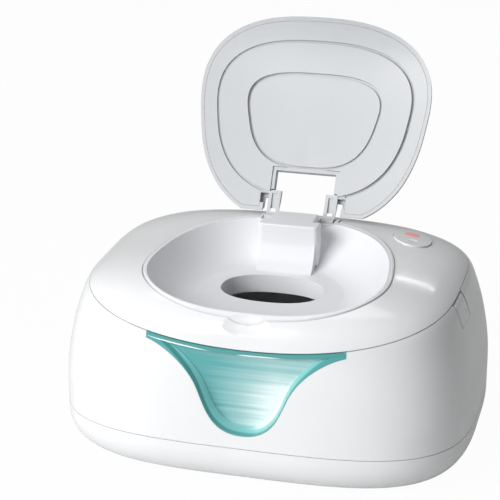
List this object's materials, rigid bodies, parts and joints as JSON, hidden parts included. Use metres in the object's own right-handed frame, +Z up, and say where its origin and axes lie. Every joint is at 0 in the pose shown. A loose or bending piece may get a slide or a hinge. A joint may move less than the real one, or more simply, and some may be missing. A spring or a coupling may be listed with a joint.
{
  "type": "baby wipe warmer",
  "caption": "Low oval warming tub with a hinged heated cover, an open flip lid over a dispensing bowl, a translucent night-light window, a power button and side release tabs.",
  "frame": {"origin": "on the ground plane, below the middle of the body", "axes": "+X to the user's right, +Y towards the back, +Z up; the night-light window and the finger scoop face -Y"},
  "size_m": [0.2482, 0.1981, 0.235],
  "materials": {
    "white_gloss": "glossy",
    "white_satin": "satin",
    "white_matte": "matte",
    "teal_translucent": "glossy, translucent",
    "frosted_clear": "frosted",
    "foot_rubber": "matte",
    "seal_silicone": "matte",
    "steel": "zinc plated",
    "nickel": "plated",
    "contact_brass": "plated",
    "aluminium_sheet": "satin",
    "heater_film": "smooth film",
    "circuit_board": "lacquered",
    "black_plastic": "satin",
    "led_amber": "glossy",
    "led_red": "glossy",
    "lens_red": "glossy, translucent",
    "wire_red": "smooth insulation",
    "wire_black": "smooth insulation"
  },
  "bodies": {
    "body": {"base_cover": "white_gloss", "rubber_feet": "foot_rubber", "base_screws": "steel", "body_shell": "white_gloss", "window_lens": "teal_translucent", "light_diffuser": "frosted_clear", "night_light_board": "circuit_board", "night_light_leds": "led_amber", "inner_tub": "white_matte", "power_jack": "black_plastic", "jack_pin": "nickel", "supply_wires": "wire_red", "light_wires": "wire_black", "contact_block": "black_plastic", "contact_pins": "contact_brass", "cover_hinge_pins": "steel"},
    "cover": {"cover_shell": "white_gloss", "dispensing_bowl": "white_satin", "inner_cover": "white_matte", "cover_seal": "seal_silicone", "heater_plate": "aluminium_sheet", "heater_film": "heater_film", "thermostat": "black_plastic", "thermal_fuse": "steel", "cover_screws": "steel", "contact_pads": "contact_brass", "control_board": "circuit_board", "board_components": "black_plastic", "tact_switch": "black_plastic", "indicator_led": "led_red", "heater_wires": "wire_red", "lid_hinge_pin": "steel"},
    "lid": {"lid_shell": "white_gloss", "lid_liner": "white_satin"},
    "button": {"power_button": "white_gloss", "button_lens": "lens_red"},
    "tab_left": {"release_tab_left": "white_gloss"},
    "tab_right": {"release_tab_right": "white_gloss"}
  },
  "joints": [
    {"name": "cover_hinge", "type": "hinge", "parent": "body", "child": "cover", "pos_m": [0, 0.0905, 0.09], "axis": [-1, 0, 0], "range_deg": [0, 85]},
    {"name": "lid_hinge", "type": "hinge", "parent": "cover", "child": "lid", "pos_m": [0, 0.0434, 0.117], "axis": [1, 0, 0], "range_deg": [0, 120]},
    {"name": "power_button_press", "type": "slide", "parent": "cover", "child": "button", "axis": [-0.167, -0.073, -0.9832], "range_m": [0, 0.0012], "stiffness_N_per_m": 800},
    {"name": "release_tab_left_press", "type": "hinge", "parent": "body", "child": "tab_left", "pos_m": [-0.1152, -0.0222, 0.0886], "axis": [0, 1, 0], "range_deg": [0, 5], "stiffness_Nm_per_rad": 2},
    {"name": "release_tab_right_press", "type": "hinge", "parent": "body", "child": "tab_right", "pos_m": [0.1152, -0.0222, 0.0886], "axis": [0, -1, 0], "range_deg": [0, 5], "stiffness_Nm_per_rad": 2}
  ]
}
